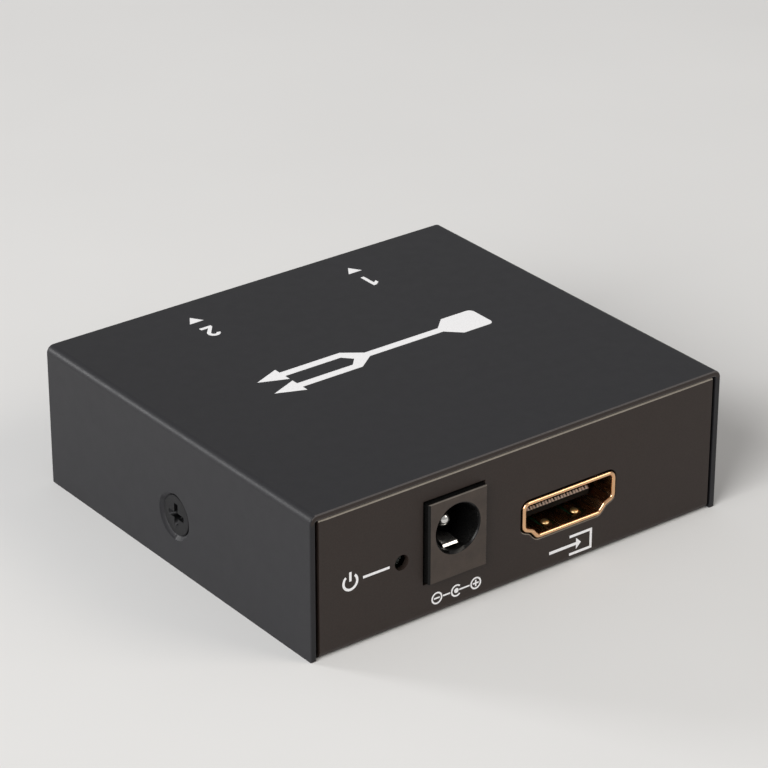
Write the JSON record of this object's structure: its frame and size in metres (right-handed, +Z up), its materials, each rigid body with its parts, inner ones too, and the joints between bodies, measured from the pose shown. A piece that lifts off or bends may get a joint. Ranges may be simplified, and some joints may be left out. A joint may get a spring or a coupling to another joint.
{
  "type": "hdmi splitter",
  "caption": "Small flat black metal box that shares a video signal: power jack, indicator hole and input socket in front, output sockets behind.",
  "frame": {"origin": "centre of the case's underside, on the surface that it stands on", "axes": "+X right as seen from the front panel, -Y towards the front panel with the power jack and the input, +Z up"},
  "size_m": [0.065, 0.0591, 0.02],
  "materials": {
    "black_painted_steel": "satin black powder coat",
    "black_screw_steel": "black zinc plate",
    "gold_plate": "thin gold plate over formed steel sheet",
    "contact_plate": "gold flash over copper alloy",
    "socket_plastic": "moulded black plastic",
    "jack_plastic": "moulded black plastic",
    "bright_tin": "bright tin or nickel plate",
    "board_green": "solder mask over glass-fibre board",
    "brass_standoff": "turned brass",
    "led_lens": "clear moulded lens",
    "chip_black": "moulded chip body",
    "lead_tin": "matt tin plate",
    "crystal_can": "nickel-plated lid",
    "can_aluminium": "drawn aluminium can",
    "base_plastic": "moulded base plate",
    "ceramic_tan": "fired ceramic with tinned ends",
    "ceramic_dark": "coated ceramic with tinned ends"
  },
  "bodies": {
    "root": {"top_cover": "black_painted_steel", "bottom_tray": "black_painted_steel", "cover_screws": "black_screw_steel", "pcb": "board_green", "pcb_standoffs": "brass_standoff", "pcb_screws": "lead_tin", "hdmi_in_shell": "gold_plate", "hdmi_in_insulator": "socket_plastic", "hdmi_in_contacts": "contact_plate", "hdmi_out_1_shell": "gold_plate", "hdmi_out_1_insulator": "socket_plastic", "hdmi_out_1_contacts": "contact_plate", "hdmi_out_2_shell": "gold_plate", "hdmi_out_2_insulator": "socket_plastic", "hdmi_out_2_contacts": "contact_plate", "dc_jack_housing": "jack_plastic", "dc_jack_centre_pin": "bright_tin", "dc_jack_pin_terminal": "bright_tin", "dc_jack_sleeve_spring": "bright_tin", "dc_jack_switch_contact": "bright_tin", "power_led_lens": "led_lens", "power_led_legs": "lead_tin", "splitter_chip": "chip_black", "splitter_chip_leads": "lead_tin", "memory_chip": "chip_black", "memory_chip_leads": "lead_tin", "voltage_regulator": "chip_black", "voltage_regulator_leads": "lead_tin", "crystal": "crystal_can", "capacitor_cans": "can_aluminium", "capacitor_bases": "base_plastic", "chip_capacitors": "ceramic_tan", "chip_resistors": "ceramic_dark"}
  },
  "joints": []
}
